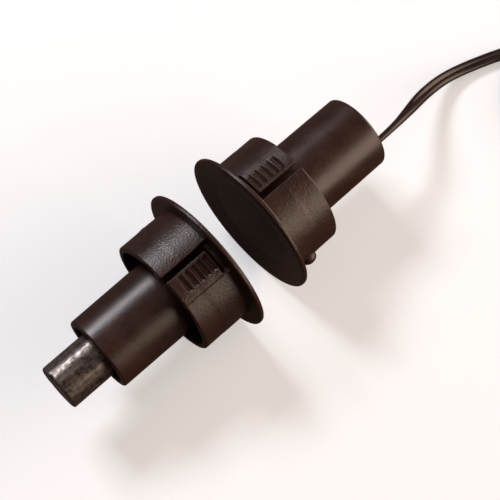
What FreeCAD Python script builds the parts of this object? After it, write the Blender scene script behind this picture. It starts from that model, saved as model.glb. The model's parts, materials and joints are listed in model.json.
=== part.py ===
import FreeCAD, Part
import math
import os
import Sketcher
from FreeCAD import Placement, Rotation, Vector

# A recessed magnetic door contact: a switch half and a magnet half that face each
# other across the door's gap. Both halves lie on one axis, X, with +Z up.
#
# The frame's origin is on that axis, in the plane of the switch half's seat, which is
# the rear face of its flange. The switch half runs towards +X and the magnet half
# towards -X. The floor touches the two flange rims from below.
#
# Each half is built in its own collar frame: x runs rearwards from the seat, and an
# angle about x is counted from +Z towards +Y, with 0 at the first edge of a slot.

SIZES = [
    # flange: a shallow dish inside a flat rim
    ("flange_radius", 15.875),
    ("flange_depth", 1.0),
    ("rim_width", 1.3),
    ("dish_depth", 0.8),
    ("dish_floor_radius", 9.8),
    # collar: it fills a 1 inch hole next to the flange, and tapers to a hair less behind
    ("seat_radius", 12.7),
    ("seat_length", 5.8),
    ("collar_radius", 12.65),
    ("collar_taper", 1.0),
    ("collar_length", 11.0),
    ("collar_bore_radius", 11.4),
    # barrel, with a wall that joins it to the collar behind the dish
    ("web_depth", 0.55),
    ("front_wall_depth", 1.0),
    ("bore_radius", 6.6),
    ("switch_barrel_length", 29.2),
    ("switch_barrel_root_radius", 8.25),
    ("switch_barrel_end_radius", 8.15),
    ("magnet_barrel_length", 27.4),
    ("magnet_barrel_root_radius", 8.1),
    ("magnet_barrel_end_radius", 7.9),
    # roundings of the moulding
    ("rim_rounding", 0.35),
    ("dish_rounding", 1.5),
    ("collar_rounding", 0.35),
    ("barrel_rounding", 0.5),
    ("lip_rounding", 0.35),
    ("edge_rounding", 0.15),
    # opening in the collar, in degrees: an open slot, the tab and its seam
    ("slot_angle", 6.8),
    ("tab_angle", 25.5),
    ("seam_angle", 0.3),
    ("notch_length", 1.5),
    ("window_sink", 0.1),
    ("tab_relief", 0.7),
    # V-shaped grip teeth cut across the tab, from its lip towards the seam
    ("tooth_count", 5),
    ("tooth_pitch", 1.5),
    ("tooth_depth", 0.6),
    ("tooth_land", 0.1),
    ("tooth_foot", 0.04),
    ("tooth_run", 3.3),
    ("tooth_slant", 0.55),
    ("tooth_lip", 0.5),
    # snap nub, on the collar beside the flange
    ("nub_angle", -98.1),
    ("nub_place", 4.1),
    ("nub_half_length", 1.65),
    ("nub_half_width", 1.4),
    ("nub_half_height", 1.2),
    ("nub_top_radius", 14.0),
    # magnet, the ribs that hold it and the glue at the barrel's mouth
    ("rib_count", 4),
    ("rib_width", 1.2),
    ("rib_end_gap", 6.5),
    ("magnet_radius", 4.7625),
    ("magnet_length", 36.0),
    ("magnet_edge", 0.3),
    ("glue_recess", 2.6),
    ("glue_length", 3.6),
    # how the halves lie: the gap between their rims, and each one's turn about X
    ("half_gap", 10.5),
    ("switch_turn", 9.4),
    ("magnet_turn", -3.1),
    # reed capsule
    ("glass_start", 4.0),
    ("glass_length", 14.0),
    ("glass_radius", 1.15),
    ("glass_wall", 0.3),
    ("glass_seal", 1.8),
    ("glass_taper", 0.4),
    ("reed_lead_radius", 0.26),
    ("reed_lead_inside", 0.6),
    ("front_lead_outside", 2.4),
    ("rear_lead_outside", 3.5),
    ("blade_depth", 0.14),
    ("blade_width", 1.0),
    ("blade_overlap", 1.0),
    ("blade_gap", 0.1),
    ("blade_play", 0.05),
    ("sleeve_radius", 2.2),
    ("sleeve_overhang", 0.4),
    ("cushion_start", 3.0),
    ("cushion_length", 3.0),
    # wiring in the potting
    ("potting_start", 17.0),
    ("potting_end", 28.6),
    ("ferrule_radius", 0.55),
    ("ferrule_length", 3.0),
    ("ferrule_start", 20.0),
    ("splice_place", 21.4),
    ("core_radius", 0.25),
    ("core_straight", 2.1),
    ("core_crossing", 0.5),
    ("insulation_radius", 0.68),
    ("insulation_start", 26.0),
    ("return_wire_radius", 0.35),
    ("return_wire_front", 1.45),
    # lead: where it leaves the potting, the turn of its wide side, and its coil
    ("exit_radius", 4.3),
    ("exit_angle", -106.5),
    ("pair_angle", -16.5),
    ("cord_width", 2.8),
    ("cord_radius", 1.35),
    ("coil_inner_radius", 10.0),
    ("coil_outer_radius", 15.8),
    ("coil_height", 2.8),
    ("coil_centre_x", 78.1),
    ("coil_centre_y", -22.7),
    ("tie_angle", -75.0),
    ("tie_width", 3.0),
    ("tie_depth", 0.35),
    # the two tails inside the coil: their start from its centre, and their headings
    ("tail_start_x", 4.7),
    ("tail_start_y", 7.3),
    ("tail_spread", 0.74),
    ("upper_tail_heading", -60.0),
    ("lower_tail_heading", -80.0),
    ("tail_length", 5.0),
    ("tip_length", 3.6),
    ("tip_radius", 0.4),
    # how far a cutting shape runs past what it cuts
    ("overcut", 0.6),
]

# The lead from the potting down to the floor and on to its coil, in millimetres.
LEAD_ROUTE = [
    (28.6, -4.12, -1.22),
    (35.5, -4.12, -1.22),
    (42.5, -2.6, -4.6),
    (50.0, -0.4, -9.6),
    (58.5, 0.4, -13.4),
    (67.0, -1.6, -14.52),
    (76.0, -5.3, -14.52),
    (84.2, -9.1, -14.52),
]

doc = FreeCAD.newDocument("door_contact")
sheet = doc.addObject("Spreadsheet::Sheet", "Sizes")
for row, (name, value) in enumerate(SIZES, start=1):
    sheet.set(f"A{row}", name)
    sheet.set(f"B{row}", str(value))
    sheet.setAlias(f"B{row}", name)
doc.recompute()

nodes = []


def size(name):
    """A driving size as a number."""
    return float(sheet.get(name))


def bind(thing, **expressions):
    """Bind properties of an object to expressions of the sheet's sizes."""
    for path, expression in expressions.items():
        thing.setExpression(path.replace("__", "."), expression)
    return thing


def polar(radius, angle, x=0.0):
    """The point at that radius and angle about X, counted from +Z towards +Y."""
    turn = math.radians(angle)
    return Vector(x, radius * math.sin(turn), radius * math.cos(turn))


def half_placement(magnet_side):
    """Where a half's collar frame lies in the frame of the whole part."""
    if not magnet_side:
        return Placement(Vector(), Rotation(Vector(1, 0, 0), size("switch_turn")))
    away = Vector(-size("half_gap") - 2 * size("flange_depth"), 0, 0)
    face_back = Placement(away, Rotation(Vector(0, 0, 1), 180))
    return face_back * Placement(Vector(), Rotation(Vector(1, 0, 0), size("magnet_turn")))


def node(thing, label, placement=None):
    """Name a finished sub-part. Its label names its file."""
    thing.Label = label
    if placement is not None:
        thing.Placement = placement
    nodes.append(thing)
    return thing


# Sketches and features of the moulded pieces


def origin_feature(body, role):
    return next(f for f in body.Origin.OriginFeatures if f.Role == role)


def outline(body, name, corners):
    """A closed outline whose corners are given as pairs of expressions, along and out."""
    sketch = body.newObject("Sketcher::SketchObject", name)
    sketch.AttachmentSupport = [(origin_feature(body, "XY_Plane"), "")]
    sketch.MapMode = "FlatFace"
    places = [tuple(float(sheet.evalExpression(e)) for e in corner) for corner in corners]
    count = len(corners)
    for i, place in enumerate(places):
        start = Vector(*place, 0)
        end = Vector(*places[(i + 1) % count], 0)
        sketch.addGeometry(Part.LineSegment(start, end), False)
    for i in range(count):
        sketch.addConstraint(Sketcher.Constraint("Coincident", i, 2, (i + 1) % count, 1))
    for i, (corner, place) in enumerate(zip(corners, places)):
        for kind, expression, value, axis in (
            ("DistanceX", corner[0], place[0], -2),
            ("DistanceY", corner[1], place[1], -1),
        ):
            if abs(value) < 1e-9:
                sketch.addConstraint(Sketcher.Constraint("PointOnObject", i, 1, axis))
                continue
            rule = sketch.addConstraint(Sketcher.Constraint(kind, -1, 1, i, 1, value))
            sketch.setExpression(f"Constraints[{rule}]", expression)
    return sketch


def turned(body, kind, name, corners, angle="360"):
    """Revolve an outline about X, to add (Revolution) or to cut (Groove)."""
    sketch = outline(body, name + "_outline", corners)
    feature = body.newObject(f"PartDesign::{kind}", name)
    feature.Profile = sketch
    feature.ReferenceAxis = (sketch, ["H_Axis"])
    bind(feature, Angle=angle)
    doc.recompute()
    return feature


def rings(feature, places):
    """The names of a feature's full circular edges at these (x, radius) places."""
    found = []
    for i, edge in enumerate(feature.Shape.Edges, start=1):
        if not isinstance(edge.Curve, Part.Circle):
            continue
        centre, radius = edge.Curve.Center, edge.Curve.Radius
        for x, r in places:
            if abs(centre.x - x) < 1e-4 and abs(radius - r) < 1e-4:
                found.append(f"Edge{i}")
    if len(found) != len(places):
        raise ValueError(f"{feature.Label}: {len(found)} of {len(places)} edges found")
    return found


def rounded(body, name, places, radius):
    """Round the circular edges of the body's last feature at (x, radius) places."""
    base = body.Tip
    feature = body.newObject("PartDesign::Fillet", name)
    feature.Base = (base, rings(base, places))
    bind(feature, Radius=f"Sizes.{radius}")
    doc.recompute()
    return feature


def outer_edges(feature, angles):
    """The names of a feature's edges along the collar's outside at these angles, or opposite."""
    found = []
    for i, edge in enumerate(feature.Shape.Edges, start=1):
        ends = [v.Point for v in edge.Vertexes]
        if len(ends) != 2 or abs(ends[0].x - ends[1].x) < size("edge_rounding"):
            continue
        if min(math.hypot(p.y, p.z) for p in ends) < size("collar_radius") - 1e-3:
            continue
        for angle in angles:
            turns = [math.atan2(p.y, p.z) - math.radians(angle) for p in ends]
            if max(abs(math.sin(turn)) for turn in turns) < 1e-4:
                found.append(f"Edge{i}")
    return found


def softened(body, name, angles):
    """Round the outer edges that run along the collar at these angles."""
    base = body.Tip
    feature = body.newObject("PartDesign::Fillet", name)
    feature.Base = (base, outer_edges(base, angles))
    bind(feature, Radius="Sizes.edge_rounding")
    doc.recompute()
    return feature


def polar_pattern(body, name, original, count):
    """Repeat one feature evenly about X."""
    pattern = body.newObject("PartDesign::PolarPattern", name)
    pattern.Originals = [original]
    pattern.Axis = (origin_feature(body, "X_Axis"), [""])
    pattern.Angle = 360
    pattern.Occurrences = count
    body.Tip = pattern
    doc.recompute()
    return pattern


def housing(label, half, magnet_side):
    """One moulding: dished flange, slotted collar and hollow barrel."""
    body = doc.addObject("PartDesign::Body", label)
    front = "-Sizes.flange_depth"
    dish = "-Sizes.flange_depth + Sizes.dish_depth"
    end = f"Sizes.{half}_barrel_length"
    root_radius = f"Sizes.{half}_barrel_root_radius"
    end_radius = f"Sizes.{half}_barrel_end_radius"
    turned(
        body,
        "Revolution",
        label + "_shell",
        [
            (dish, "0"),
            (dish, "Sizes.dish_floor_radius"),
            (front, "Sizes.flange_radius - Sizes.rim_width"),
            (front, "Sizes.flange_radius"),
            ("0", "Sizes.flange_radius"),
            ("0", "Sizes.seat_radius"),
            ("Sizes.seat_length", "Sizes.seat_radius"),
            ("Sizes.seat_length + Sizes.collar_taper", "Sizes.collar_radius"),
            ("Sizes.collar_length", "Sizes.collar_radius"),
            ("Sizes.collar_length", "Sizes.collar_bore_radius"),
            ("Sizes.web_depth", "Sizes.collar_bore_radius"),
            ("Sizes.web_depth", root_radius),
            (end, end_radius),
            (end, "Sizes.bore_radius"),
            ("Sizes.front_wall_depth", "Sizes.bore_radius"),
            ("Sizes.front_wall_depth", "0"),
        ],
    )
    rim = size("flange_radius")
    rounded(
        body,
        label + "_rim_rounding",
        [
            (-size("flange_depth"), rim),
            (0.0, rim),
            (-size("flange_depth"), rim - size("rim_width")),
        ],
        "rim_rounding",
    )
    dish_floor = size("dish_depth") - size("flange_depth")
    dish_corner = (dish_floor, size("dish_floor_radius"))
    rounded(body, label + "_dish_rounding", [dish_corner], "dish_rounding")
    collar_corner = (size("collar_length"), size("collar_radius"))
    rounded(body, label + "_collar_rounding", [collar_corner], "collar_rounding")
    end_x = size(f"{half}_barrel_length")
    barrel_corner = (end_x, size(f"{half}_barrel_end_radius"))
    rounded(body, label + "_end_rounding", [barrel_corner], "barrel_rounding")
    rounded(body, label + "_lip_rounding", [(end_x, size("bore_radius"))], "lip_rounding")
    collar_window(body, label)
    snap_nub(body, label)
    if magnet_side:
        crush_ribs(body, label)
    return node(body, label, half_placement(magnet_side))


def collar_window(body, label):
    """Two openings in the collar: each holds a slot, a locking tab and the tab's notch.

    They are cut a hair into the flange, so that their floors lie below the seat."""
    cut = turned(
        body,
        "Groove",
        label + "_window",
        [
            ("-Sizes.window_sink", "Sizes.collar_bore_radius - Sizes.overcut"),
            ("Sizes.collar_length + Sizes.overcut", "Sizes.collar_bore_radius - Sizes.overcut"),
            ("Sizes.collar_length + Sizes.overcut", "Sizes.seat_radius + Sizes.overcut"),
            ("-Sizes.window_sink", "Sizes.seat_radius + Sizes.overcut"),
        ],
        "Sizes.slot_angle + Sizes.tab_angle + Sizes.seam_angle",
    )
    # the outline lies in the plane of +Y, so the groove is turned to start at +Z
    cut.Profile[0].AttachmentOffset = Placement(Vector(), Rotation(Vector(1, 0, 0), 90))
    cut.Reversed = True
    polar_pattern(body, label + "_windows", cut, 2)
    far_side = size("slot_angle") + size("tab_angle") + size("seam_angle")
    softened(body, label + "_window_edges", [0, far_side])


def snap_nub(body, label):
    """A rounded nub that snaps behind the edge of a sheet-metal hole."""
    nub = body.newObject("PartDesign::AdditiveEllipsoid", label + "_nub")
    bind(
        nub,
        Radius1="Sizes.nub_half_height",
        Radius2="Sizes.nub_half_length",
        Radius3="Sizes.nub_half_width",
        Placement__Base__x="Sizes.nub_place",
        Placement__Base__y="(Sizes.nub_top_radius - Sizes.nub_half_height) * sin(Sizes.nub_angle)",
        Placement__Base__z="(Sizes.nub_top_radius - Sizes.nub_half_height) * cos(Sizes.nub_angle)",
    )
    nub.Placement.Rotation = Rotation(Vector(1, 0, 0), -size("nub_angle"))
    doc.recompute()


def crush_ribs(body, label):
    """Ribs along the bore that grip the magnet, rooted a little way into the wall."""
    rib_end = "Sizes.magnet_barrel_length - Sizes.rib_end_gap"
    sketch = outline(
        body,
        label + "_rib_outline",
        [
            ("Sizes.front_wall_depth / 2", "Sizes.magnet_radius"),
            (rib_end, "Sizes.magnet_radius"),
            (rib_end, "Sizes.bore_radius + Sizes.overcut"),
            ("Sizes.front_wall_depth / 2", "Sizes.bore_radius + Sizes.overcut"),
        ],
    )
    rib = body.newObject("PartDesign::Pad", label + "_rib")
    rib.Profile = sketch
    rib.Midplane = True
    bind(rib, Length="Sizes.rib_width")
    doc.recompute()
    polar_pattern(body, label + "_ribs", rib, int(size("rib_count")))


def locking_tab(label, magnet_side, turn):
    """A springy tongue cut from the collar, with a row of V-shaped grip teeth."""
    blank = doc.addObject("PartDesign::Body", label + "_blank")
    turned(
        blank,
        "Revolution",
        label + "_tongue",
        [
            ("Sizes.notch_length", "Sizes.collar_bore_radius"),
            ("Sizes.collar_length", "Sizes.collar_bore_radius"),
            ("Sizes.collar_length", "Sizes.collar_radius - Sizes.collar_rounding"),
            ("Sizes.collar_length - Sizes.collar_rounding", "Sizes.collar_radius"),
            ("Sizes.seat_length + Sizes.collar_taper", "Sizes.collar_radius"),
            ("Sizes.seat_length", "Sizes.seat_radius"),
            ("Sizes.notch_length", "Sizes.seat_radius"),
        ],
        "Sizes.tab_angle",
    )
    tongue = blank.Tip
    relief = blank.newObject("PartDesign::Chamfer", label + "_relief")
    relief.Base = (tongue, [seam_edge(tongue)])
    bind(relief, Size="Sizes.tab_relief")
    doc.recompute()
    softened(blank, label + "_lip_edge", [90 - size("tab_angle")])
    # it is turned from the plane of +Y, which becomes its hinge side
    hinge_side = size("slot_angle") + size("tab_angle")
    blank.Placement = Placement(Vector(), Rotation(Vector(1, 0, 0), 90 - hinge_side))
    cutters = []
    for i in range(int(size("tooth_count"))):
        cutters.append(tooth_cutter(f"{label}_tooth_{i + 1}", i))
    teeth = doc.addObject("Part::MultiFuse", label + "_teeth")
    teeth.Shapes = cutters
    tab = doc.addObject("Part::Cut", label)
    tab.Base = blank
    tab.Tool = teeth
    doc.recompute()
    around = Placement(Vector(), Rotation(Vector(1, 0, 0), turn))
    return node(tab, label, half_placement(magnet_side) * around)


def seam_edge(tongue):
    """A tongue's inner edge along X in the plane of +Y, beside the seam."""
    for i, edge in enumerate(tongue.Shape.Edges, start=1):
        ends = [v.Point for v in edge.Vertexes]
        away = [abs(p.y - size("collar_bore_radius")) + abs(p.z) for p in ends]
        if len(ends) == 2 and max(away) < 1e-3:
            return f"Edge{i}"
    raise ValueError(f"{tongue.Label}: no edge beside the seam")


def tooth_cutter(label, index):
    """One V-shaped cut across a tab: a steep wall at the lip, a slanted one at the seam."""
    cutter = doc.addObject("Part::Wedge", label)
    depth = size("tooth_depth") + size("overcut") / 2
    slope = (size("tooth_pitch") - size("tooth_land")) / 2 / size("tooth_depth")
    slant = size("tooth_slant") * depth / size("tooth_depth")
    cutter.Xmin, cutter.Xmax = -size("tooth_foot") / 2, size("tooth_foot") / 2
    cutter.X2min, cutter.X2max = -depth * slope, depth * slope
    cutter.Ymin, cutter.Ymax = 0, depth
    cutter.Zmin, cutter.Zmax = -size("tooth_run"), 0
    cutter.Z2min, cutter.Z2max = -size("tooth_run") - slant, 0
    # the cut's floor is flat, and square to the radius at the middle of its run
    to_middle = size("tooth_lip") + size("tooth_run") / 2
    middle = size("slot_angle") + math.degrees(to_middle / size("seat_radius"))
    x = size("notch_length") + size("tooth_pitch") * (index + 0.5)
    foot = polar(size("collar_radius") - size("tooth_depth"), middle, x)
    towards_lip = -polar(size("tooth_run") / 2, middle + 90)
    cutter.Placement = Placement(foot + towards_lip, Rotation(Vector(1, 0, 0), 90 - middle))
    return cutter


# Turned and bent pieces


def rod(label, radius, start, length, place=Vector(), tube_radius=None):
    """A rod, or a tube, along X through a place's y and z. Sizes are expressions."""
    thing = doc.addObject("Part::Cylinder", label if tube_radius is None else label + "_outside")
    bind(thing, Radius=radius, Height=length, Placement__Base__x=start)
    lay_along_x(thing, place)
    if tube_radius is None:
        return thing
    hole = doc.addObject("Part::Cylinder", label + "_hole")
    bind(hole, Radius=tube_radius, Height=length, Placement__Base__x=start)
    lay_along_x(hole, place)
    tube = doc.addObject("Part::Cut", label)
    tube.Base, tube.Tool = thing, hole
    return tube


def lay_along_x(thing, place):
    """Turn a cylinder's own axis to X, through the place's y and z."""
    start = Vector(thing.Placement.Base.x, place.y, place.z)
    thing.Placement = Placement(start, Rotation(Vector(0, 1, 0), 90))
    doc.recompute()


def fillet_radius(before, corner, after):
    """The largest arc that two runs share fairly: 0.45 of the shorter over tan(turn / 2)."""
    turn = (corner - before).getAngle(after - corner)
    shorter = min((corner - before).Length, (after - corner).Length)
    return 0.45 * shorter / math.tan(turn / 2)


def smooth_path(points):
    """Straight runs joined by tangent arcs, as one wire."""
    edges, at = [], points[0]
    for before, corner, after in zip(points, points[1:], points[2:]):
        radius = fillet_radius(before, corner, after)
        back = (before - corner).normalize()
        on = (after - corner).normalize()
        reach = radius * math.tan((corner - before).getAngle(after - corner) / 2)
        inward = (back + on).normalize()
        bulge = math.hypot(radius, reach) - radius
        first, last = corner + back * reach, corner + on * reach
        edges.append(Part.LineSegment(at, first).toShape())
        edges.append(Part.Arc(first, corner + inward * bulge, last).toShape())
        at = last
    edges.append(Part.LineSegment(at, points[-1]).toShape())
    return Part.Wire(edges)


def bent(label, points, radius):
    """A round wire along a smooth path, checked against its section times its length."""
    path = smooth_path(points)
    start = path.Edges[0]
    heading = start.tangentAt(start.FirstParameter)
    section = Part.Wire([Part.Circle(points[0], heading, radius).toShape()])
    shape = path.makePipeShell([section], True, False)
    expected = math.pi * radius**2 * path.Length
    if abs(shape.Volume - expected) > 0.01 * expected:
        raise ValueError(f"{label}: volume {shape.Volume:.1f}, expected {expected:.1f}")
    thing = doc.addObject("Part::Feature", label)
    thing.Shape = shape
    return thing


def carved(label, blank, tools):
    """A piece with the space of others taken out of it."""
    space = doc.addObject("Part::MultiFuse", label + "_space")
    space.Shapes = [copy_of(t) for t in tools]
    piece = doc.addObject("Part::Cut", label)
    piece.Base, piece.Tool = blank, space
    doc.recompute()
    return piece


def copy_of(thing):
    """A plain copy of a sub-part's shape, to cut with."""
    twin = doc.addObject("Part::Feature", thing.Name + "_space")
    twin.Shape = thing.Shape
    return twin


# The two mouldings, and their tabs

housing("switch_housing", "switch", False)
housing("magnet_housing", "magnet", True)
for half, magnet_side in (("switch", False), ("magnet", True)):
    for number, turn in ((1, 0), (2, 180)):
        locking_tab(f"{half}_locking_tab_{number}", magnet_side, turn)

# The magnet half: a cast rod pressed between the ribs and glued at the mouth

magnet_frame = half_placement(True)
magnet_blank = doc.addObject("Part::Cylinder", "magnet_blank")
bind(magnet_blank, Radius="Sizes.magnet_radius", Height="Sizes.magnet_length")
doc.recompute()
magnet_rod = doc.addObject("Part::Fillet", "magnet_rod")
magnet_rod.Base = magnet_blank
edge = size("magnet_edge")
magnet_rod.Edges = [(1, edge, edge), (3, edge, edge)]
doc.recompute()
seated = Placement(Vector(size("front_wall_depth"), 0, 0), Rotation(Vector(0, 1, 0), 90))
node(magnet_rod, "magnet_rod", magnet_frame * seated)
glue = rod(
    "magnet_glue",
    "Sizes.bore_radius",
    "Sizes.magnet_barrel_length - Sizes.glue_recess - Sizes.glue_length",
    "Sizes.glue_length",
    tube_radius="Sizes.magnet_radius",
)
node(glue, "magnet_glue", magnet_frame)

# The reed switch: two springy blades sealed in a glass tube, in a soft sleeve

glass_end = "Sizes.glass_start + Sizes.glass_length"
front_seal_end = "Sizes.glass_start + Sizes.glass_seal"
rear_seal_start = f"{glass_end} - Sizes.glass_seal"
glass = doc.addObject("PartDesign::Body", "reed_glass")
turned(
    glass,
    "Revolution",
    "glass_shell",
    [
        ("Sizes.glass_start", "Sizes.reed_lead_radius"),
        ("Sizes.glass_start", "Sizes.glass_radius - Sizes.glass_taper"),
        ("Sizes.glass_start + Sizes.glass_taper", "Sizes.glass_radius"),
        (f"{glass_end} - Sizes.glass_taper", "Sizes.glass_radius"),
        (glass_end, "Sizes.glass_radius - Sizes.glass_taper"),
        (glass_end, "Sizes.reed_lead_radius"),
        (rear_seal_start, "Sizes.reed_lead_radius"),
        (rear_seal_start, "Sizes.glass_radius - Sizes.glass_wall"),
        (front_seal_end, "Sizes.glass_radius - Sizes.glass_wall"),
        (front_seal_end, "Sizes.reed_lead_radius"),
    ],
)
node(glass, "reed_glass")

front_lead_end = f"{front_seal_end} + Sizes.reed_lead_inside"
rear_lead_start = f"{rear_seal_start} - Sizes.reed_lead_inside"
front_lead = rod(
    "front_reed_lead",
    "Sizes.reed_lead_radius",
    "Sizes.glass_start - Sizes.front_lead_outside",
    "Sizes.front_lead_outside + Sizes.glass_seal + Sizes.reed_lead_inside",
)
rear_lead = rod(
    "rear_reed_lead",
    "Sizes.reed_lead_radius",
    rear_lead_start,
    "Sizes.rear_lead_outside + Sizes.glass_seal + Sizes.reed_lead_inside",
)
node(front_lead, "front_reed_lead")
node(rear_lead, "rear_reed_lead")
glass_middle = "(Sizes.glass_start + Sizes.glass_length / 2)"
for label, start, length, side in (
    (
        "front_reed_blade",
        f"{front_lead_end} + Sizes.blade_play",
        f"{glass_middle} + Sizes.blade_overlap / 2 - ({front_lead_end}) - Sizes.blade_play",
        "Sizes.blade_gap / 2",
    ),
    (
        "rear_reed_blade",
        f"{glass_middle} - Sizes.blade_overlap / 2",
        f"{rear_lead_start} - {glass_middle} + Sizes.blade_overlap / 2 - Sizes.blade_play",
        "-Sizes.blade_gap / 2 - Sizes.blade_depth",
    ),
):
    blade = doc.addObject("Part::Box", label)
    bind(
        blade,
        Length=length,
        Width="Sizes.blade_depth",
        Height="Sizes.blade_width",
        Placement__Base__x=start,
        Placement__Base__y=side,
        Placement__Base__z="-Sizes.blade_width / 2",
    )
    node(blade, label)
sleeve = rod(
    "reed_sleeve",
    "Sizes.sleeve_radius",
    "Sizes.glass_start - Sizes.sleeve_overhang",
    "Sizes.glass_length + 2 * Sizes.sleeve_overhang",
    tube_radius="Sizes.glass_radius",
)
node(sleeve, "reed_sleeve")

# The wiring inside: the pair's two conductors, one straight and one crossing to the axis

exit_point = polar(size("exit_radius"), size("exit_angle"))
step = polar(size("cord_width") / 4, size("pair_angle"))
upper, lower = exit_point + step, exit_point - step


def at(x, place):
    return Vector(x, place.y, place.z)


return_wire_route = [
    Vector(size("return_wire_front"), 0, 0),
    at(size("return_wire_front"), lower),
    at(size("splice_place"), lower),
]
return_wire = node(
    bent("return_wire", return_wire_route, size("return_wire_radius")), "return_wire"
)
core_start = size("glass_start") + size("glass_length") + size("rear_lead_outside")
crossing = core_start + size("core_straight")
axis_core_route = [
    Vector(core_start, 0, 0),
    Vector(crossing, 0, 0),
    at(crossing + size("core_crossing"), upper),
    at(size("insulation_start"), upper),
]
axis_core = node(bent("axis_core", axis_core_route, size("core_radius")), "axis_core")
return_core = rod(
    "return_core",
    "Sizes.core_radius",
    "Sizes.splice_place",
    "Sizes.insulation_start - Sizes.splice_place",
    lower,
)
node(return_core, "return_core")
in_the_potting = [rear_lead, return_wire, axis_core, return_core]
for label, place, inner in (
    ("axis_ferrule", Vector(), "Sizes.reed_lead_radius"),
    ("return_ferrule", lower, "Sizes.return_wire_radius"),
):
    ends = ("Sizes.ferrule_start", "Sizes.ferrule_length", place)
    node(rod(label, "Sizes.ferrule_radius", *ends, tube_radius=inner), label)
    in_the_potting.append(rod(label + "_core", "Sizes.ferrule_radius", *ends))
for label, place in (("upper_insulation", upper), ("lower_insulation", lower)):
    stretch = rod(
        label,
        "Sizes.insulation_radius",
        "Sizes.insulation_start",
        "Sizes.potting_end - Sizes.insulation_start",
        place,
    )
    in_the_potting.append(node(stretch, label))

# A foam disc centres the sleeve at the front, and poured resin closes the barrel

sleeve_core = rod(
    "sleeve_core",
    "Sizes.sleeve_radius",
    "Sizes.glass_start - Sizes.sleeve_overhang",
    "Sizes.glass_length + 2 * Sizes.sleeve_overhang",
)
cushion_blank = rod(
    "cushion_blank", "Sizes.bore_radius", "Sizes.cushion_start", "Sizes.cushion_length"
)
node(carved("front_cushion", cushion_blank, [sleeve_core, return_wire, front_lead]), "front_cushion")
potting_blank = rod(
    "potting_blank",
    "Sizes.bore_radius",
    "Sizes.potting_start",
    "Sizes.potting_end - Sizes.potting_start",
)
node(carved("rear_potting", potting_blank, [sleeve_core, *in_the_potting]), "rear_potting")

# The lead: a flat two-core cord, free down to the floor and then coiled under a tie

floor = -size("flange_radius")
route = [Vector(*p) for p in LEAD_ROUTE]
for before, corner, after in zip(route, route[1:], route[2:]):
    print(f"lead bend at {corner.x:.1f}: radius {fillet_radius(before, corner, after):.1f}")
print(f"lead length {smooth_path(route).Length:.1f}")
node(bent("lead_cord", route, size("cord_radius")), "lead_cord")

centre = Vector(size("coil_centre_x"), size("coil_centre_y"), floor)
tie_turn = Rotation(Vector(0, 0, 1), size("tie_angle"))


def coil_block(label, inner, outer, low, high, width):
    """A box across the coil's ring at the tie, from one radius to another."""
    block = doc.addObject("Part::Box", label)
    block.Length, block.Width, block.Height = outer - inner, width, high - low
    corner = Placement(Vector(inner, -width / 2, low), Rotation())
    block.Placement = Placement(centre, tie_turn) * corner
    return block


inner, outer = size("coil_inner_radius"), size("coil_outer_radius")
top, wrap, width = size("coil_height"), size("tie_depth"), size("tie_width")
ring_outside = doc.addObject("Part::Cylinder", "coil_outside")
bind(ring_outside, Radius="Sizes.coil_outer_radius", Height="Sizes.coil_height")
ring_hole = doc.addObject("Part::Cylinder", "coil_hole")
bind(ring_hole, Radius="Sizes.coil_inner_radius", Height="Sizes.coil_height")
ring_outside.Placement = ring_hole.Placement = Placement(centre, Rotation())
ring = doc.addObject("Part::Cut", "coil_ring")
ring.Base, ring.Tool = ring_outside, ring_hole
coil = doc.addObject("Part::Cut", "lead_coil")
coil.Base = ring
coil.Tool = coil_block("strap_space", inner - wrap, outer + wrap, 0, wrap, width)
node(coil, "lead_coil")
tie = doc.addObject("Part::Cut", "cord_tie")
tie.Base = coil_block("tie_outside", inner - wrap, outer + wrap, 0, top + wrap, width)
tie.Tool = coil_block("tie_hole", inner, outer, wrap, top, width + size("overcut"))
node(tie, "cord_tie")

# The two conductors part inside the coil, and each ends in a stripped, tinned tip

tail_start = centre + Vector(size("tail_start_x"), size("tail_start_y"), size("insulation_radius"))
for label, spread in (("upper_tail", size("tail_spread")), ("lower_tail", -size("tail_spread"))):
    turn = math.radians(size(f"{label}_heading"))
    on = Vector(math.cos(turn), math.sin(turn), 0)
    start = tail_start + Vector(-on.y, on.x, 0) * spread
    along = Rotation(Vector(0, 0, 1), on)
    cover = doc.addObject("Part::Cylinder", label)
    bind(cover, Radius="Sizes.insulation_radius", Height="Sizes.tail_length")
    cover.Placement = Placement(start, along)
    node(cover, label)
    tip = doc.addObject("Part::Cylinder", label + "_tip")
    bind(tip, Radius="Sizes.tip_radius", Height="Sizes.tip_length")
    tip.Placement = Placement(start + on * size("tail_length"), along)
    node(tip, label + "_tip")

doc.recompute()
for thing in doc.Objects:
    if "Invalid" in thing.State or "Error" in thing.State:
        raise ValueError(f"{thing.Label} failed: {thing.State}")
os.makedirs("parts", exist_ok=True)
for thing in nodes:
    shape = thing.Shape
    if shape.isNull() or not shape.isValid() or not shape.Solids:
        raise ValueError(f"{thing.Label} has no valid solid")
    shape.exportStep(f"parts/{thing.Label}.step")
    print(f"{thing.Label}: {shape.Volume:.1f} mm3")
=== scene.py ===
import json
import math

import bmesh
import bpy
from mathutils import Matrix, Vector, noise


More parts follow.
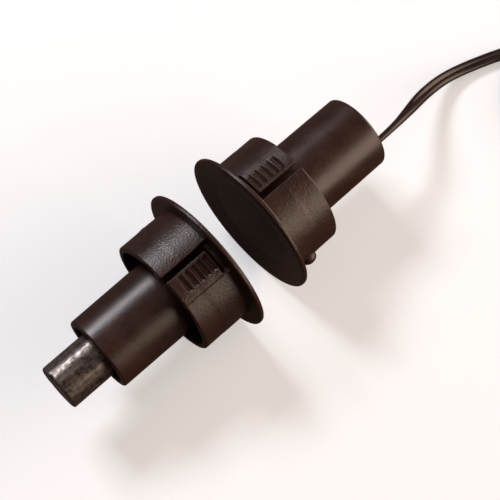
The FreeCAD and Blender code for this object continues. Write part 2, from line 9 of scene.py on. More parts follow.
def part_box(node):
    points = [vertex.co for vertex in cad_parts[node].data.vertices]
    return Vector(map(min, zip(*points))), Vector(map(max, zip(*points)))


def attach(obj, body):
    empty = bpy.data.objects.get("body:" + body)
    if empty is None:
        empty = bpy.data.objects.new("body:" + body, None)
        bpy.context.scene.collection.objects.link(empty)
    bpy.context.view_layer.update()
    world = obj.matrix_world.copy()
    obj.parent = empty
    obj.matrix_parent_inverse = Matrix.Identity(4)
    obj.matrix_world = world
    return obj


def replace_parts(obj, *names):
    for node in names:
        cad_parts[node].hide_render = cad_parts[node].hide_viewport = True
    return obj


# The looks of a recessed magnetic door contact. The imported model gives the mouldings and
# their tabs, and this script adds the magnet's cast skin, the glue and resin surfaces, the
# flat lead with its coil, and every material. Lengths are in metres.

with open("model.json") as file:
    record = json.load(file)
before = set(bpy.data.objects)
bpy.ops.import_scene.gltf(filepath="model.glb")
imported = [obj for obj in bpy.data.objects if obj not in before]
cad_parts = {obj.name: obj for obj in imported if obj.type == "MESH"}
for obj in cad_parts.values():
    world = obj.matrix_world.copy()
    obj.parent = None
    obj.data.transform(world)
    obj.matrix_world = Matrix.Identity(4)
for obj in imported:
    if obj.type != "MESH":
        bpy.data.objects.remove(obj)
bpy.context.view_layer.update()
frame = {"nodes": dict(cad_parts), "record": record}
MM = 0.001

# Camera: its direction from the object, its distance and the point that it looks at
CAMERA_AZIMUTH = -43.17
CAMERA_ELEVATION = 67.92
CAMERA_DISTANCE = 0.2446
CAMERA_TARGET = (-0.0040, -0.0038, -0.0011)
CAMERA_LENS = 90
CAMERA_SENSOR = 36

# Lead: a flat cord of two insulated conductors, side by side
CORD_WIDTH = 2.8 * MM
CONDUCTOR_RADIUS = CORD_WIDTH / 4
LEAD_ROUTE = [
    (0.0286, -0.00412, -0.00122),
    (0.0355, -0.00412, -0.00122),
    (0.0425, -0.0026, -0.0046),
    (0.0500, -0.0004, -0.0096),
    (0.0585, 0.0004, -0.0134),
    (0.0670, -0.0016, -0.01465),
    (0.0760, -0.0053, -0.01447),
    (0.0842, -0.0091, -0.01446),
]
COIL_TURNS = 3
COIL_POINTS_PER_TURN = 24
COIL_PITCH = 1.42 * MM
COIL_OPENING = 10.0 * MM
TIE_ANGLE = -75.0
STRAP_DEPTH = 0.35 * MM
STRAP_WIDTH = 3.0 * MM

# From the coil's inner turn to where the conductors part, in mm from its centre and the floor
PARTING_ROUTE = [(3.1, 10.3, 1.16), (4.25, 8.95, 0.88), (4.7, 7.3, 0.74)]
TAIL_COVER_LENGTH = 5 * MM
TAIL_STRANDS_LENGTH = 4 * MM
TAIL_OVERLAP = 0.4 * MM
TAIL_BOW = 0.35 * MM
TAIL_COVER_HEIGHT = 0.7 * MM
TAIL_TIP_HEIGHT = 0.6 * MM

# Lock head and tongue of the tie: how far out of the coil and how high, and their sizes
TIE_HEAD_SIZE = (1.5 * MM, 3.9 * MM, 2.3 * MM)
TIE_HEAD_PLACE = (0.72 * MM, 1.45 * MM)
TIE_TONGUE_SIZE = (2.6 * MM, 2.4 * MM, 0.5 * MM)
TIE_TONGUE_PLACE = (1.6 * MM, 1.5 * MM)

# Floor and surroundings: pale to the camera, and dim to every other ray, so that they throw
# little light at the object
FLOOR_PALE = (0.605, 0.63, 0.655)
FLOOR_GLOW = 0.38
FLOOR_DIM = (0.118, 0.088, 0.077)
WORLD_PALE = (0.90, 0.89, 0.88)
WORLD_DIM = (0.050, 0.034, 0.031)

# Lights: azimuth and elevation in degrees, distance and size in metres, watts, tint
LIGHTS = {
    "key": (182, 46, 0.8, (0.30, 0.2), 4.8, (0.98, 0.95, 1.0)),
    "fill": (54, 12, 1.0, (1.8, 1.1), 30.0, (1.0, 0.78, 0.61)),
    "top": (-75, 72, 0.9, (0.6, 0.6), 0.8, (1.0, 0.74, 0.60)),
}

# The sockets of a Mix node that hold its two colours and its result
MIX_FIRST, MIX_SECOND, MIX_RESULT = 6, 7, 2

# Where the floor is: the two flange rims stand on it
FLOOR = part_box("switch_housing")[0].z

# The plane halfway between the two flanges
MIDDLE = (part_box("switch_housing")[0].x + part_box("magnet_housing")[1].x) / 2


# Node materials


class Shader:
    """A node material under construction: a Principled shader and what feeds it."""

    def __init__(self, name):
        self.material = bpy.data.materials.new(name)
        self.material.use_nodes = True
        self.nodes = self.material.node_tree.nodes
        self.links = self.material.node_tree.links
        self.principled = self.nodes["Principled BSDF"]
        self.place = self.nodes.new("ShaderNodeTexCoord").outputs["Object"]

    def set(self, **sockets):
        """Constants on the shader's own sockets, with _ for a space in a socket's name."""
        for name, value in sockets.items():
            self.principled.inputs[name.replace("_", " ")].default_value = value
        return self

    def stretched(self, scale):
        """Object coordinates scaled by axis, for streaks and grain that run one way."""
        mapping = self.nodes.new("ShaderNodeMapping")
        mapping.inputs["Scale"].default_value = scale
        self.links.new(self.place, mapping.inputs["Vector"])
        return mapping.outputs["Vector"]

    def from_axis(self):
        """The distance of a place from the X axis, in metres."""
        length = self.nodes.new("ShaderNodeVectorMath")
        length.operation = "LENGTH"
        self.links.new(self.stretched((0, 1, 1)), length.inputs[0])
        return length.outputs["Value"]

    def from_plane(self, x):
        """The distance of a place from the plane at that x, in metres."""
        apart = self.nodes.new("ShaderNodeSeparateXYZ")
        self.links.new(self.place, apart.inputs["Vector"])
        return self.combined("ABSOLUTE", self.combined("SUBTRACT", apart.outputs["X"], x), 0)

    def noise(self, scale, detail=4.0, roughness=0.55, place=None):
        texture = self.nodes.new("ShaderNodeTexNoise")
        texture.inputs["Scale"].default_value = scale
        texture.inputs["Detail"].default_value = detail
        texture.inputs["Roughness"].default_value = roughness
        self.links.new(place or self.place, texture.inputs["Vector"])
        return texture.outputs["Fac"]

    def cells(self, scale):
        texture = self.nodes.new("ShaderNodeTexVoronoi")
        texture.inputs["Scale"].default_value = scale
        self.links.new(self.place, texture.inputs["Vector"])
        return texture.outputs["Distance"]

    def ramp(self, value, low, high, start=0.0, end=1.0):
        """A value mapped from low..high to start..end, held at the ends."""
        spread = self.nodes.new("ShaderNodeMapRange")
        spread.inputs["From Min"].default_value = low
        spread.inputs["From Max"].default_value = high
        spread.inputs["To Min"].default_value = start
        spread.inputs["To Max"].default_value = end
        self.links.new(value, spread.inputs["Value"])
        return spread.outputs["Result"]

    def mixed(self, share, first, second):
        """Two colours mixed by a share. Each is a colour or a socket."""
        mix = self.nodes.new("ShaderNodeMix")
        mix.data_type = "RGBA"
        self.links.new(share, mix.inputs["Factor"])
        for socket, colour in ((mix.inputs[MIX_FIRST], first), (mix.inputs[MIX_SECOND], second)):
            if isinstance(colour, bpy.types.NodeSocket):
                self.links.new(colour, socket)
            else:
                socket.default_value = (*colour, 1)
        return mix.outputs[MIX_RESULT]

    def combined(self, operation, first, second):
        """Arithmetic on two values. Each is a number or a socket."""
        sum_node = self.nodes.new("ShaderNodeMath")
        sum_node.operation = operation
        for socket, value in zip(sum_node.inputs, (first, second)):
            if isinstance(value, bpy.types.NodeSocket):
                self.links.new(value, socket)
            else:
                socket.default_value = value
        return sum_node.outputs[0]

    def edges(self, radius):
        """1 along edges and 0 on open faces, and the normal rounded over those edges."""
        bevel = self.nodes.new("ShaderNodeBevel")
        bevel.samples = 6
        bevel.inputs["Radius"].default_value = radius
        true_normal = self.nodes.new("ShaderNodeNewGeometry").outputs["Normal"]
        dot = self.nodes.new("ShaderNodeVectorMath")
        dot.operation = "DOT_PRODUCT"
        self.links.new(bevel.outputs["Normal"], dot.inputs[0])
        self.links.new(true_normal, dot.inputs[1])
        return self.ramp(dot.outputs["Value"], 0.985, 0.85), bevel.outputs["Normal"]

    def bump(self, height, strength, depth, normal=None):
        feature = self.nodes.new("ShaderNodeBump")
        feature.inputs["Strength"].default_value = strength
        feature.inputs["Distance"].default_value = depth
        self.links.new(height, feature.inputs["Height"])
        if normal is not None:
            self.links.new(normal, feature.inputs["Normal"])
        return feature.outputs["Normal"]

    def feed(self, **sockets):
        """Varying values for the shader's sockets, with _ for a space in a name."""
        for name, value in sockets.items():
            self.links.new(value, self.principled.inputs[name.replace("_", " ")])
        return self.material


def housing_plastic():
    """Dark brown ABS: a satin grain on flange and collar, smoother on the slim barrel."""
    shader = Shader("housing_plastic").set(Specular_IOR_Level=0.45, IOR=1.5)
    clouds = shader.noise(240, 3)
    grain = shader.noise(2700, 3, 0.6)
    scuffs = shader.ramp(shader.noise(1.0, 5, 0.7, shader.stretched((420, 900, 900))), 0.62, 0.74)
    rim, rounded = shader.edges(0.16 * MM)
    body = shader.mixed(shader.ramp(clouds, 0.3, 0.7), (0.0165, 0.0058, 0.0037), (0.0280, 0.0110, 0.0073))
    speckled = shader.mixed(shader.ramp(grain, 0.52, 0.75, 0, 0.5), body, (0.064, 0.036, 0.026))
    # Edges, concave ones too, are lightened in colour: partly edge wear, partly a painted edge highlight.
    edge_wear_and_highlight = shader.mixed(shader.combined("MULTIPLY", rim, 0.35), speckled, (0.105, 0.070, 0.056))
    wide = shader.ramp(shader.from_axis(), 8.6 * MM, 9.8 * MM)
    dished = shader.ramp(shader.from_plane(MIDDLE), 7.3 * MM, 8.0 * MM, 1, 0)
    outside = shader.combined("MAXIMUM", wide, dished)
    matt = shader.ramp(clouds, 0.3, 0.7, 0.31, 0.37)
    dulled = shader.combined("ADD", matt, shader.combined("MULTIPLY", scuffs, 0.12))
    waves = shader.bump(shader.noise(600, 2), 0.3, 0.08 * MM, rounded)
    depth = shader.combined("MULTIPLY", grain, shader.ramp(outside, 0, 1, 0.2, 1.0))
    grained = shader.bump(depth, 0.5, 0.15 * MM, waves)
    return shader.feed(Base_Color=edge_wear_and_highlight, Roughness=dulled, Normal=grained)


def cast_magnet():
    """Ground cast alloy: mottled grey-brown, pitted, and brighter along its length."""
    shader = Shader("cast_magnet").set(Metallic=0.7)
    mottle = shader.noise(900, 6, 0.65)
    streaks = shader.noise(1.0, 4, 0.6, shader.stretched((90, 1600, 1600)))
    pits = shader.cells(1900)
    rim, rounded = shader.edges(0.2 * MM)
    grey = shader.mixed(shader.ramp(mottle, 0.38, 0.62), (0.026, 0.018, 0.0145), (0.150, 0.128, 0.118))
    streaked = shader.mixed(shader.ramp(streaks, 0.5, 0.72, 0, 0.5), grey, (0.34, 0.315, 0.30))
    # The edges are lightened in colour: partly chipped edges, partly a painted edge highlight.
    chipped_and_edge_highlit = shader.mixed(shader.combined("MULTIPLY", rim, 0.4), streaked, (0.34, 0.31, 0.29))
    rough = shader.ramp(mottle, 0.35, 0.65, 0.42, 0.29)
    relief = shader.combined("ADD", mottle, shader.ramp(pits, 0.0, 0.25, 0.0, 0.35))
    return shader.feed(
        Base_Color=chipped_and_edge_highlit, Roughness=rough, Normal=shader.bump(relief, 0.5, 0.06 * MM, rounded)
    )


def lead_cover():
    """Dark brown PVC, smooth and slightly glossy, with a faint fine grain."""
    shader = Shader("lead_cover").set(Specular_IOR_Level=0.4, IOR=1.5)
    clouds = shader.noise(420, 3)
    grain = shader.noise(6000, 2)
    tone = shader.mixed(shader.ramp(clouds, 0.3, 0.7), (0.0100, 0.0044, 0.0038), (0.0190, 0.0082, 0.0070))
    rough = shader.ramp(clouds, 0.3, 0.7, 0.30, 0.42)
    return shader.feed(Base_Color=tone, Roughness=rough, Normal=shader.bump(grain, 0.12, 0.01 * MM))


def resin(name, dark, pale, gloss):
    """Poured resin or glue: slow clouds, tiny bubbles, a wet look."""
    shader = Shader(name).set(Specular_IOR_Level=0.5, IOR=1.5)
    clouds = shader.noise(700, 4)
    bubbles = shader.ramp(shader.cells(2600), 0.05, 0.16)
    tone = shader.mixed(clouds, dark, pale)
    rough = shader.ramp(clouds, 0.3, 0.7, gloss, gloss + 0.14)
    return shader.feed(Base_Color=tone, Roughness=rough, Normal=shader.bump(bubbles, 0.2, 0.03 * MM))


def metal(name, dark, pale, rough):
    """Drawn or plated metal with fine lines along X and slight tarnish."""
    shader = Shader(name).set(Metallic=1.0)
    lines = shader.noise(1.0, 3, 0.5, shader.stretched((500, 9000, 9000)))
    tarnish = shader.noise(1800, 4)
    tone = shader.mixed(shader.ramp(tarnish, 0.35, 0.65), dark, pale)
    return shader.feed(
        Base_Color=tone,
        Roughness=shader.ramp(tarnish, 0.3, 0.7, rough, rough + 0.15),
        Normal=shader.bump(lines, 0.2, 0.01 * MM),
    )


def soft_plastic(name, dark, pale, rough, grain_scale=3500):
    """Rubber, foam or a tie's nylon: a faint mottle and a fine grain."""
    shader = Shader(name).set(Specular_IOR_Level=0.4)
    mottle = shader.noise(900, 4)
    grain = shader.noise(grain_scale, 3)
    return shader.feed(
        Base_Color=shader.mixed(mottle, dark, pale),
        Roughness=shader.ramp(mottle, 0.3, 0.7, rough, rough + 0.1),
        Normal=shader.bump(grain, 0.25, 0.02 * MM),
    )


def clear_glass():
    """Greenish reed glass with faint draw lines."""
    shader = Shader("reed_glass").set(Transmission_Weight=0.95, IOR=1.5)
    lines = shader.noise(1.0, 2, 0.5, shader.stretched((300, 5000, 5000)))
    tone = shader.mixed(shader.noise(300, 2), (0.78, 0.90, 0.83), (0.88, 0.96, 0.91))
    return shader.feed(
        Base_Color=tone,
        Roughness=shader.ramp(lines, 0.3, 0.7, 0.02, 0.07),
        Normal=shader.bump(lines, 0.08, 0.01 * MM),
    )


def slot_materials():
    """One material for each slot of the record."""
    return {
        "housing_plastic": housing_plastic(),
        "cast_magnet": cast_magnet(),
        "hot_glue": resin("hot_glue", (0.012, 0.008, 0.007), (0.030, 0.020, 0.016), 0.28),
        "reed_glass": clear_glass(),
        "nickel_iron": metal("nickel_iron", (0.46, 0.44, 0.41), (0.64, 0.62, 0.59), 0.25),
        "silicone": soft_plastic("silicone", (0.70, 0.69, 0.65), (0.82, 0.81, 0.77), 0.4),
        "foam_rubber": soft_plastic("foam_rubber", (0.025, 0.025, 0.025), (0.05, 0.05, 0.05), 0.8, 1800),
        "potting": resin("potting", (0.012, 0.0085, 0.008), (0.022, 0.015, 0.013), 0.22),
        "wire_cover": soft_plastic("wire_cover", (0.40, 0.03, 0.02), (0.52, 0.05, 0.035), 0.4),
        "tinned_metal": metal("tinned_metal", (0.52, 0.51, 0.49), (0.74, 0.73, 0.71), 0.28),
        "copper": metal("copper", (0.66, 0.28, 0.16), (0.80, 0.40, 0.26), 0.3),
        "lead_cover": lead_cover(),
        "tie_plastic": soft_plastic("tie_plastic", (0.020, 0.020, 0.022), (0.035, 0.035, 0.038), 0.42),
    }


# Mesh helpers


def new_mesh(name, vertices, faces):
    mesh = bpy.data.meshes.new(name)
    mesh.from_pydata([tuple(v) for v in vertices], [], faces)
    mesh.validate()
    made = bmesh.new()
    made.from_mesh(mesh)
    bmesh.ops.recalc_face_normals(made, faces=made.faces)
    made.to_mesh(mesh)
    made.free()
    mesh.polygons.foreach_set("use_smooth", [True] * len(mesh.polygons))
    thing = bpy.data.objects.new(name, mesh)
    bpy.context.scene.collection.objects.link(thing)
    return thing


def finished(thing, body, slot):
    """Give a new piece its body, its slot and that slot's material."""
    thing.data.materials.append(MATERIALS[slot])
    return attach(thing, body)


def swept(name, centres, frames, section):
    """A closed solid that carries a section along centres. A frame is (side, up)."""
    count = len(section)
    vertices = []
    for centre, (side, up) in zip(centres, frames):
        vertices += [centre + side * a + up * b for a, b in section]
    faces = [tuple(range(count))]
    for ring in range(len(centres) - 1):
        base = ring * count
        for i in range(count):
            j = (i + 1) % count
            faces.append((base + i, base + j, base + count + j, base + count + i))
    last = (len(centres) - 1) * count
    faces.append(tuple(last + i for i in reversed(range(count))))
    return new_mesh(name, vertices, faces)


def lathe(name, profile, steps, shape=None):
    """A surface turned about X from (x, radius) points; shape(x, r, angle) may change one."""
    vertices, faces = [], []
    for x, radius in profile:
        for step in range(steps):
            angle = 2 * math.pi * step / steps
            place, out = shape(x, radius, angle) if shape else (x, radius)
            vertices.append((place, out * math.sin(angle), out * math.cos(angle)))
    for ring in range(len(profile) - 1):
        base = ring * steps
        for step in range(steps):
            on = (step + 1) % steps
            faces.append((base + step, base + on, base + steps + on, base + steps + step))
    faces.append(tuple(range(steps)))
    last = (len(profile) - 1) * steps
    faces.append(tuple(last + step for step in reversed(range(steps))))
    return new_mesh(name, vertices, faces)


# The lead


def coil_centre():
    low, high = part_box("lead_coil")
    return (low + high) / 2


def lift_over_strap(angle):
    """How far a turn rises where the tie's strap passes under it."""
    away = abs((math.degrees(angle) - TIE_ANGLE + 180) % 360 - 180)
    return STRAP_DEPTH * 1.15 * max(0.0, math.cos(math.radians(min(90, away * 3)))) ** 2


def lead_points():
    """The route's points, the coil's turns and the short way in to the parted tails."""
    centre = coil_centre()
    entry = Vector(LEAD_ROUTE[-1])
    arm = entry - centre
    start_angle, start_radius = math.atan2(arm.y, arm.x), math.hypot(arm.x, arm.y)
    points = [Vector(p) for p in LEAD_ROUTE]
    for i in range(1, COIL_TURNS * COIL_POINTS_PER_TURN - 1):
        share = i / COIL_POINTS_PER_TURN
        angle = start_angle - 2 * math.pi * share
        radius = start_radius - COIL_PITCH * share
        height = FLOOR + CORD_WIDTH / 2 + lift_over_strap(angle)
        points.append(
            Vector((centre.x + radius * math.cos(angle), centre.y + radius * math.sin(angle), height))
        )
    for x, y, z in PARTING_ROUTE:
        points.append(Vector((centre.x + x * MM, centre.y + y * MM, FLOOR + z * MM)))
    return points


def spline(name, points, resolution=8):
    """A smooth open NURBS curve through the space of its control points."""
    data = bpy.data.curves.new(name, "CURVE")
    data.dimensions = "3D"
    data.resolution_u = resolution
    line = data.splines.new("NURBS")
    line.points.add(len(points) - 1)
    for point, place in zip(line.points, points):
        point.co = (*place, 1)
    line.order_u = 3
    line.use_endpoint_u = True
    return bpy.data.objects.new(name, data)


def points_on(curve):
    """The points of a curve that has no bevel."""
    bpy.context.scene.collection.objects.link(curve)
    bpy.context.view_layer.update()
    mesh = bpy.data.meshes.new_from_object(curve)
    places = [v.co.copy() for v in mesh.vertices]
    bpy.data.objects.remove(curve)
    return places


def distances(places):
    along = [0.0]
    for before, after in zip(places, places[1:]):
        along.append(along[-1] + (after - before).length)
    return along


def wide_directions(places):
    """Which way the flat cord's wide side points at each place along it.

    It stands on edge as it leaves the resin, lies flat where it meets the floor, stands
    on edge again through the coil, and lies flat where its conductors part."""
    along = distances(places)
    total = along[-1]
    facing = math.radians(-16.5)
    exit_side = Vector((0, math.sin(facing), math.cos(facing)))
    upright = Vector((0, 0, 1))
    keys = [
        (0.0, exit_side),
        (3 * MM, exit_side),
        (30 * MM, None),
        (46 * MM, None),
        (62 * MM, upright),
        (total - 12 * MM, upright),
        (total - 2 * MM, None),
        (total, None),
    ]
    frames = []
    for i in range(len(places)):
        ahead = (places[min(i + 1, len(places) - 1)] - places[max(i - 1, 0)]).normalized()
        flat = Vector((ahead.y, -ahead.x, 0)).normalized()
        before = max(k for k in range(len(keys)) if keys[k][0] <= along[i] + 1e-9)
        after = min(before + 1, len(keys) - 1)
        gap = keys[after][0] - keys[before][0]
        share = 0.0 if gap <= 0 else (along[i] - keys[before][0]) / gap
        share = share * share * (3 - 2 * share)
        first = keys[before][1] or flat
        second = keys[after][1] or flat
        wide = first * (1 - share) + second * share
        wide = (wide - ahead * wide.dot(ahead)).normalized()
        frames.append((wide, ahead.cross(wide).normalized()))
    return frames


def twin_section():
    """The outline of two round conductors joined by a thin web."""
    steps = 14
    reach = math.radians(150)
    lobe = []
    for i in range(steps):
        turn = -reach + 2 * reach * i / (steps - 1)
        lobe.append((math.cos(turn) + 1, math.sin(turn)))
    outline = lobe + [(-a, -b) for a, b in lobe]
    return [(a * CONDUCTOR_RADIUS, b * CONDUCTOR_RADIUS) for a, b in outline]


def lead_and_tails():
    """The flat lead, its two parted conductors with tinned tips, and the tie on its coil."""
    places = points_on(spline("lead_line", lead_points()))
    frames = wide_directions(places)
    lead = swept("lead", places, frames, twin_section())
    finished(lead, "switch_half", "lead_cover")
    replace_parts(lead, "lead_cord", "lead_coil")
    tie = coil_tie()
    ends = []
    side = frames[-1][0]
    for label, away in (("upper", -1), ("lower", 1)):
        ends += tail(label, places[-1], side * away)


def tail(label, start, side):
    """One parted conductor and its twisted, tinned strands."""
    low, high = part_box(f"{label}_tail_tip")
    cad_end = Vector(((low.x + high.x) / 2, (low.y + high.y) / 2, FLOOR + TAIL_TIP_HEIGHT))
    root = start + side * CONDUCTOR_RADIUS
    on = (cad_end - root).normalized()
    cover_end = root + on * TAIL_COVER_LENGTH
    cover_end.z = FLOOR + TAIL_COVER_HEIGHT
    bow = side * TAIL_BOW
    route = [root, root + on * 1.2 * MM, root + on * 3 * MM + bow, cover_end]
    places = points_on(spline(f"{label}_tail_line", route, 12))
    cover = swept(f"{label}_tail_cover", places, round_frames(places), ring(0.94 * CONDUCTOR_RADIUS, 20))
    finished(cover, "switch_half", "lead_cover")
    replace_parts(cover, f"{label}_tail")
    strands_start = places[-1] - on * TAIL_OVERLAP
    strands = tinned_strands(f"{label}_tail_strands", strands_start, on, TAIL_STRANDS_LENGTH)
    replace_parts(strands, f"{label}_tail_tip")
    return [cover, strands]


def ring(radius, steps):
    return [
        (radius * math.cos(2 * math.pi * i / steps), radius * math.sin(2 * math.pi * i / steps))
        for i in range(steps)
    ]


def round_frames(places):
    """Frames for a round section: any side square to the line."""
    frames = []
    for i in range(len(places)):
        ahead = (places[min(i + 1, len(places) - 1)] - places[max(i - 1, 0)]).normalized()
        side = ahead.cross(Vector((0, 0, 1))).normalized()
        frames.append((side, side.cross(ahead).normalized()))
    return frames


def tinned_strands(name, start, on, length):
    """A bundle of strands: six twisted round a straight one, soldered together."""
    count, steps = 7, 26
    strand, lay = 0.13 * MM, 0.24 * MM
    side = on.cross(Vector((0, 0, 1))).normalized()
    up = side.cross(on)
    pieces = []
    for k in range(count):
        places = []
        for i in range(steps):
            share = i / (steps - 1)
            turn = 2 * math.pi * (k / (count - 1) + 1.2 * share)
            out = 0 if k == count - 1 else lay
            places.append(start + on * length * share + (side * math.cos(turn) + up * math.sin(turn)) * out)
        pieces.append(swept(f"{name}_{k}", places, round_frames(places), ring(strand, 10)))
    bundle = joined(name, pieces)
    return finished(bundle, "switch_half", "tinned_metal")


def joined(name, pieces):
    """Several meshes as one object."""
    made = bmesh.new()
    for piece in pieces:
        made.from_mesh(piece.data)
        bpy.data.objects.remove(piece)
    mesh = bpy.data.meshes.new(name)
    made.to_mesh(mesh)
    made.free()
    whole = bpy.data.objects.new(name, mesh)
    bpy.context.scene.collection.objects.link(whole)
    return whole


def coil_tie():
    """A nylon tie round the coil's section: a strap, and its lock head on the outside."""
    centre = coil_centre()
    turn = Matrix.Rotation(math.radians(TIE_ANGLE), 4, "Z")
    inner = COIL_OPENING
    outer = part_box("lead_coil")[1].x - centre.x
    height = CORD_WIDTH + STRAP_DEPTH
    corner = 0.6 * MM
    loop = []
    for x, z, first in (
        (outer - corner, height - corner, 0),
        (inner + corner, height - corner, 90),
        (inner + corner, corner, 180),
        (outer - corner, corner, 270),
    ):
        for i in range(7):
            angle = math.radians(first + 15 * i)
            loop.append((x, z, math.cos(angle), math.sin(angle)))
    vertices, faces = [], []
    edge = 0.12 * MM
    bands = (
        (-STRAP_WIDTH / 2 + edge, 0.0),
        (-STRAP_WIDTH / 2, edge),
        (-STRAP_WIDTH / 2, STRAP_DEPTH - edge),
        (-STRAP_WIDTH / 2 + edge, STRAP_DEPTH),
        (STRAP_WIDTH / 2 - edge, STRAP_DEPTH),
        (STRAP_WIDTH / 2, STRAP_DEPTH - edge),
        (STRAP_WIDTH / 2, edge),
        (STRAP_WIDTH / 2 - edge, 0.0),
    )
    for x, z, out_x, out_z in loop:
        for across, depth in bands:
            reach = corner - STRAP_DEPTH + depth
            vertices.append(Vector((x + out_x * reach, across, z + out_z * reach)))
    count = len(bands)
    for i in range(len(loop)):
        for k in range(count):
            a, b = i * count + k, i * count + (k + 1) % count
            c, d = (i + 1) % len(loop) * count + (k + 1) % count, (i + 1) % len(loop) * count + k
            faces.append((a, b, c, d))
    strap = new_mesh("tie_strap", vertices, faces)
    pieces = [strap]
    for name, size, (out, up), bevel in (
        ("tie_head", TIE_HEAD_SIZE, TIE_HEAD_PLACE, 0.25 * MM),
        ("tie_tongue", TIE_TONGUE_SIZE, TIE_TONGUE_PLACE, 0.1 * MM),
    ):
        block = bevelled_box(name, size, bevel)
        block.data.transform(Matrix.Translation((outer + out, 0, up)))
        pieces.append(block)
    tie = joined("coil_tie", pieces)
    tie.data.transform(turn)
    tie.data.transform(Matrix.Translation((centre.x, centre.y, FLOOR)))
    finished(tie, "switch_half", "tie_plastic")
    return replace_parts(tie, "cord_tie")


def bevelled_box(name, size, bevel):
    made = bmesh.new()
    bmesh.ops.create_cube(made, size=1.0)
    bmesh.ops.scale(made, vec=size, verts=made.verts)
    bmesh.ops.bevel(
        made, geom=made.edges[:], offset=bevel, segments=3, profile=0.5, affect="EDGES"
    )
    mesh = bpy.data.meshes.new(name)
    made.to_mesh(mesh)
    made.free()
    mesh.polygons.foreach_set("use_smooth", [True] * len(mesh.polygons))
    block = bpy.data.objects.new(name, mesh)
    bpy.context.scene.collection.objects.link(block)
    return block


# The magnet and the poured surfaces


def magnet_skin():
    """The cast rod with its shallow pits and slightly chipped end edge."""
    low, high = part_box("magnet_rod")
    radius = (high.y - low.y) / 2
    edge = 0.45 * MM

    def cast(x, r, angle):
        """Shallow pits over the skin, and chips where it is near an end's edge."""
        place = Vector((x, r * math.sin(angle), r * math.cos(angle)))
        pits = noise.noise(place * 900) + 0.5 * noise.noise(place * 2400)
        chips = max(0.0, noise.noise(place * 600 + Vector((7, 3, 1))) - 0.15)
        near_end = max(0.0, 1 - abs(x - low.x) / (1.2 * MM))
        inward = 0.035 * MM * max(0.0, pits) + 0.35 * MM * chips * near_end
        return x + 0.2 * inward, max(0.0, r - inward)

    profile = [(low.x, radius * i / 10) for i in range(1, 10)]
    profile += [
        (low.x + edge * (1 - math.cos(math.pi / 12 * i)), radius - edge * (1 - math.sin(math.pi / 12 * i)))
        for i in range(7)
    ]
    length = high.x - low.x
    profile += [(low.x + edge + (length - edge) * i / 110, radius) for i in range(1, 111)]
    skin = lathe("magnet_skin", profile, 120, cast)
    finished(skin, "magnet_half", "cast_magnet")
    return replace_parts(skin, "magnet_rod")


def glue_ring():
    """Glue round the magnet, drawn up where it wets the bore and the rod."""
    low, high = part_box("magnet_glue")
    outer = (high.y - low.y) / 2
    inner = (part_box("magnet_rod")[1].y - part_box("magnet_rod")[0].y) / 2 - 0.05 * MM
    steps = 12
    profile = [(high.x, inner)]
    for i in range(steps + 1):
        share = i / steps
        climb = 0.55 * MM * (abs(2 * share - 1) ** 3)
        profile.append((low.x - climb, inner + (outer - inner) * share))
    profile.append((high.x, outer))

    def uneven(x, r, angle):
        """The surface rises and sinks a little round the ring."""
        if x > low.x + 0.1 * MM:
            return x, r
        wave = noise.noise(Vector((math.sin(angle) * 2, math.cos(angle) * 2, r * 300)))
        return x - 0.18 * MM * wave, r

    glue = ring_solid("glue_surface", profile, 96, uneven)
    finished(glue, "magnet_half", "hot_glue")
    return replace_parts(glue, "magnet_glue")


def ring_solid(name, profile, steps, shape):
    """A closed ring turned about X: the outline's last point joins its first."""
    vertices, faces = [], []
    for x, radius in profile:
        for step in range(steps):
            angle = 2 * math.pi * step / steps
            place, out = shape(x, radius, angle)
            vertices.append((place, out * math.sin(angle), out * math.cos(angle)))
    count = len(profile)
    for row in range(count):
        base, after = row * steps, (row + 1) % count * steps
        for step in range(steps):
            on = (step + 1) % steps
            faces.append((base + step, base + on, after + on, after + step))
    return new_mesh(name, vertices, faces)


def resin_surface():
    """The potting's open face: level, but drawn up at the bore and round the lead."""
    low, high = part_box("rear_potting")
    radius = (high.y - low.y) / 2
    exit_place = Vector(LEAD_ROUTE[0])
    steps, rings_count = 120, 26
    vertices, faces = [], []

    def height(y, z):
        """How far the face stands out at a place, in metres."""
        from_bore = radius - math.hypot(y, z)
        from_lead = math.hypot(y - exit_place.y, z - exit_place.z) - CORD_WIDTH / 2
        bore = 0.34 * MM * math.exp(-from_bore / (0.35 * MM))
        lead = 0.75 * MM * math.exp(-max(0.0, from_lead) / (0.55 * MM))
        swell = 0.05 * MM * noise.noise(Vector((y, z, 0)) * 350)
        return 0.06 * MM + bore + lead + swell

    for ring_index in range(rings_count + 1):
        out = radius * math.sqrt(ring_index / rings_count) if ring_index else 0.02 * MM
        for step in range(steps):
            angle = 2 * math.pi * step / steps
            y, z = out * math.sin(angle), out * math.cos(angle)
            vertices.append((high.x + height(y, z), y, z))
    for step in range(steps):
        angle = 2 * math.pi * step / steps
        vertices.append((high.x - 0.3 * MM, radius * math.sin(angle), radius * math.cos(angle)))
    for row in range(rings_count + 1):
        base = row * steps
        for step in range(steps):
            on = (step + 1) % steps
            faces.append((base + step, base + on, base + steps + on, base + steps + step))
    faces.append(tuple(range(steps)))
    last = (rings_count + 1) * steps
    faces.append(tuple(last + step for step in reversed(range(steps))))
    surface = new_mesh("resin_surface", vertices, faces)
    return finished(surface, "switch_half", "potting")


# Camera, floor and light


def direction(azimuth, elevation):
    """From the object towards a camera or a light."""
    turn, rise = math.radians(azimuth), math.radians(elevation)
    return Vector(
        (math.sin(turn) * math.cos(rise), -math.cos(turn) * math.cos(rise), math.sin(rise))
    )


def camera():
    data = bpy.data.cameras.new("camera")
    data.lens = CAMERA_LENS
    data.sensor_width = CAMERA_SENSOR
    data.clip_start, data.clip_end = 0.01, 10
    viewer = bpy.data.objects.new("camera", data)
    back = direction(CAMERA_AZIMUTH, CAMERA_ELEVATION)
    viewer.location = Vector(CAMERA_TARGET) + back * CAMERA_DISTANCE
    viewer.rotation_euler = (-back).to_track_quat("-Z", "Y").to_euler()
    bpy.context.scene.collection.objects.link(viewer)
    bpy.context.scene.camera = viewer


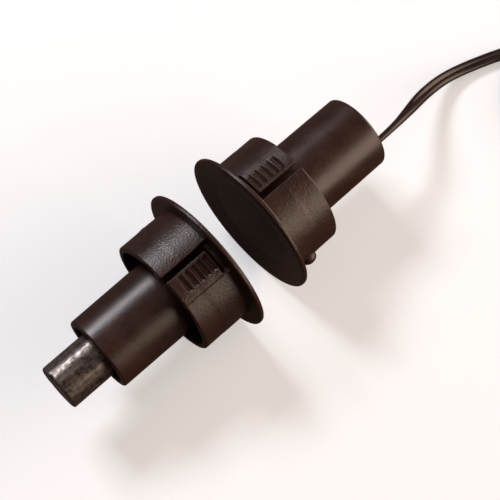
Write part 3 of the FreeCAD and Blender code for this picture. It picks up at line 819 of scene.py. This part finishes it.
def studio_floor():
    """A pale sheet under the object."""
    bpy.ops.mesh.primitive_plane_add(size=6, location=(0, 0, FLOOR - 0.02 * MM))
    floor = bpy.context.object
    floor.name = "floor"
    shader = Shader("floor").set(Specular_IOR_Level=0.0, Roughness=1.0, Emission_Color=(1, 1, 1, 1))
    seen = shader.nodes.new("ShaderNodeLightPath").outputs["Is Camera Ray"]
    tone = shader.mixed(seen, FLOOR_DIM, FLOOR_PALE)
    glow = shader.ramp(seen, 0, 1, 0, FLOOR_GLOW)
    floor.data.materials.append(shader.feed(Base_Color=tone, Emission_Strength=glow))


def soft_light(name, azimuth, elevation, distance, size, power, tint):
    data = bpy.data.lights.new(name, "AREA")
    data.shape = "RECTANGLE"
    data.size, data.size_y = size
    data.energy = power
    data.color = tint
    lamp = bpy.data.objects.new(name, data)
    lamp.visible_camera = False
    back = direction(azimuth, elevation)
    lamp.location = back * distance
    lamp.rotation_euler = (-back).to_track_quat("-Z", "Y").to_euler()
    bpy.context.scene.collection.objects.link(lamp)


def studio():
    studio_floor()
    world = bpy.data.worlds.new("studio")
    world.use_nodes = True
    nodes, links = world.node_tree.nodes, world.node_tree.links
    seen = nodes.new("ShaderNodeLightPath").outputs["Is Camera Ray"]
    tone = nodes.new("ShaderNodeMix")
    tone.data_type = "RGBA"
    tone.inputs[MIX_FIRST].default_value = (*WORLD_DIM, 1)
    tone.inputs[MIX_SECOND].default_value = (*WORLD_PALE, 1)
    links.new(seen, tone.inputs["Factor"])
    links.new(tone.outputs[MIX_RESULT], nodes["Background"].inputs["Color"])
    bpy.context.scene.world = world
    for name, values in LIGHTS.items():
        soft_light(name, *values)
    bpy.context.scene.view_settings.view_transform = "Standard"


MATERIALS = slot_materials()
SLOTS = {part["node"]: part["material_slot"] for part in frame["record"]["subparts"]}
for name, thing in frame["nodes"].items():
    thing.data.materials.clear()
    thing.data.materials.append(MATERIALS[SLOTS[name]])

camera()
lead_and_tails()
magnet_skin()
glue_ring()
resin_surface()
studio()
